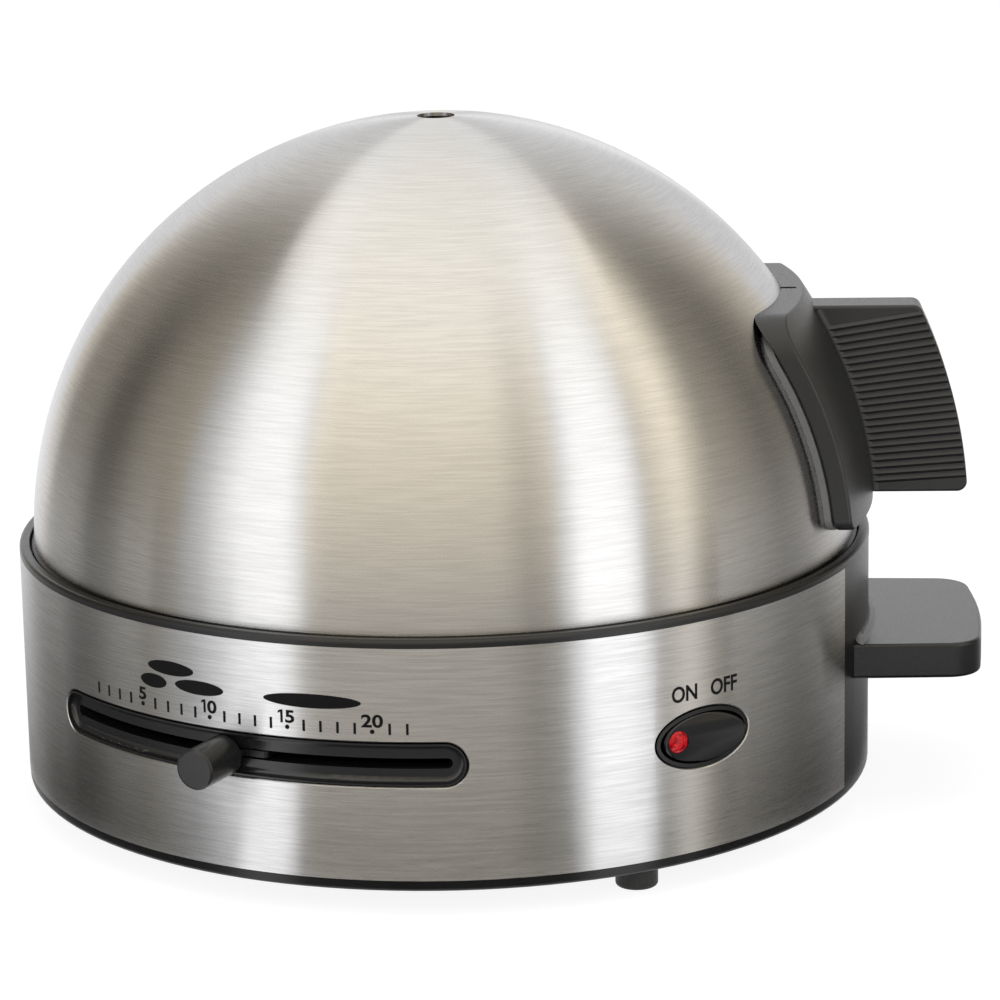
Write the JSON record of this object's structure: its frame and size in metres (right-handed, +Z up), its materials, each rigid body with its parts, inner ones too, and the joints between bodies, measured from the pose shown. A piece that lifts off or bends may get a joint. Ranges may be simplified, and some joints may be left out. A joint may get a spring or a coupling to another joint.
{
  "type": "egg cooker",
  "caption": "Electric egg cooker: round steel-banded base with a time slider and rocker switch, an egg rack over a heated water pan, and a domed steel lid with a side handle.",
  "frame": {"origin": "on the body's axis, at the surface the feet stand on", "axes": "+Z up, +X towards both handles, -Y towards the slider and switch"},
  "size_m": [0.2149, 0.195, 0.1511],
  "materials": {
    "brushed_steel": "brushed round",
    "pan_steel": "satin",
    "black_plastic": "fine satin mould finish",
    "grip_plastic": "satin",
    "spacer_plastic": "matt",
    "rack_plastic": "satin",
    "track_plastic": "semi-gloss",
    "gloss_black": "gloss",
    "red_lens": "clear gloss",
    "rubber": "matt",
    "silicone": "matt",
    "cast_aluminium": "as cast",
    "element_sheath": "dark oxide",
    "zinc_steel": "zinc plated",
    "thermal_parts": "matt",
    "circuit_board": "solder mask",
    "board_components": "satin",
    "switch_moulding": "satin",
    "brass": "plain"
  },
  "bodies": {
    "base": {"base_housing": "black_plastic", "steel_band": "brushed_steel", "base_plate": "black_plastic", "base_screws": "zinc_steel", "feet": "rubber", "water_pan": "pan_steel", "pan_seal": "silicone", "heat_spreader": "cast_aluminium", "heating_element": "element_sheath", "clamp_spider": "zinc_steel", "pan_studs": "zinc_steel", "pan_nuts": "zinc_steel", "thermostat": "thermal_parts", "thermal_fuse": "thermal_parts", "control_board": "circuit_board", "board_screws": "zinc_steel", "relay": "board_components", "buzzer": "board_components", "film_capacitor": "board_components", "potentiometer": "board_components", "slider_bezel": "track_plastic", "switch_bezel": "track_plastic", "switch_body": "switch_moulding", "switch_terminals": "brass", "terminal_block": "switch_moulding", "cord_gland": "track_plastic"},
    "lid": {"lid_dome": "brushed_steel", "lid_handle": "grip_plastic", "lid_handle_spacer": "spacer_plastic", "lid_handle_screws": "zinc_steel", "lid_handle_washers": "zinc_steel"},
    "rack": {"egg_rack": "rack_plastic"},
    "slider": {"slider_arm": "zinc_steel", "slider_knob": "track_plastic", "slider_screw": "zinc_steel", "potentiometer_shaft": "zinc_steel"},
    "rocker": {"switch_rocker": "gloss_black", "switch_lens": "red_lens"}
  },
  "joints": [
    {"name": "lid_lift", "type": "slide", "parent": "base", "child": "lid", "axis": [0, 0, 1], "range_m": [0, 0.12]},
    {"name": "rack_lift", "type": "slide", "parent": "base", "child": "rack", "axis": [0, 0, 1], "range_m": [0, 0.017]},
    {"name": "time_slide", "type": "hinge", "parent": "base", "child": "slider", "pos_m": [0, 0, 0.0325], "axis": [0, 0, 1], "range_deg": [-25.6, 23.8]},
    {"name": "power_rock", "type": "hinge", "parent": "base", "child": "rocker", "pos_m": [0.05668, -0.07373, 0.0323], "axis": [0, 0, 1], "range_deg": [0, 13]}
  ]
}
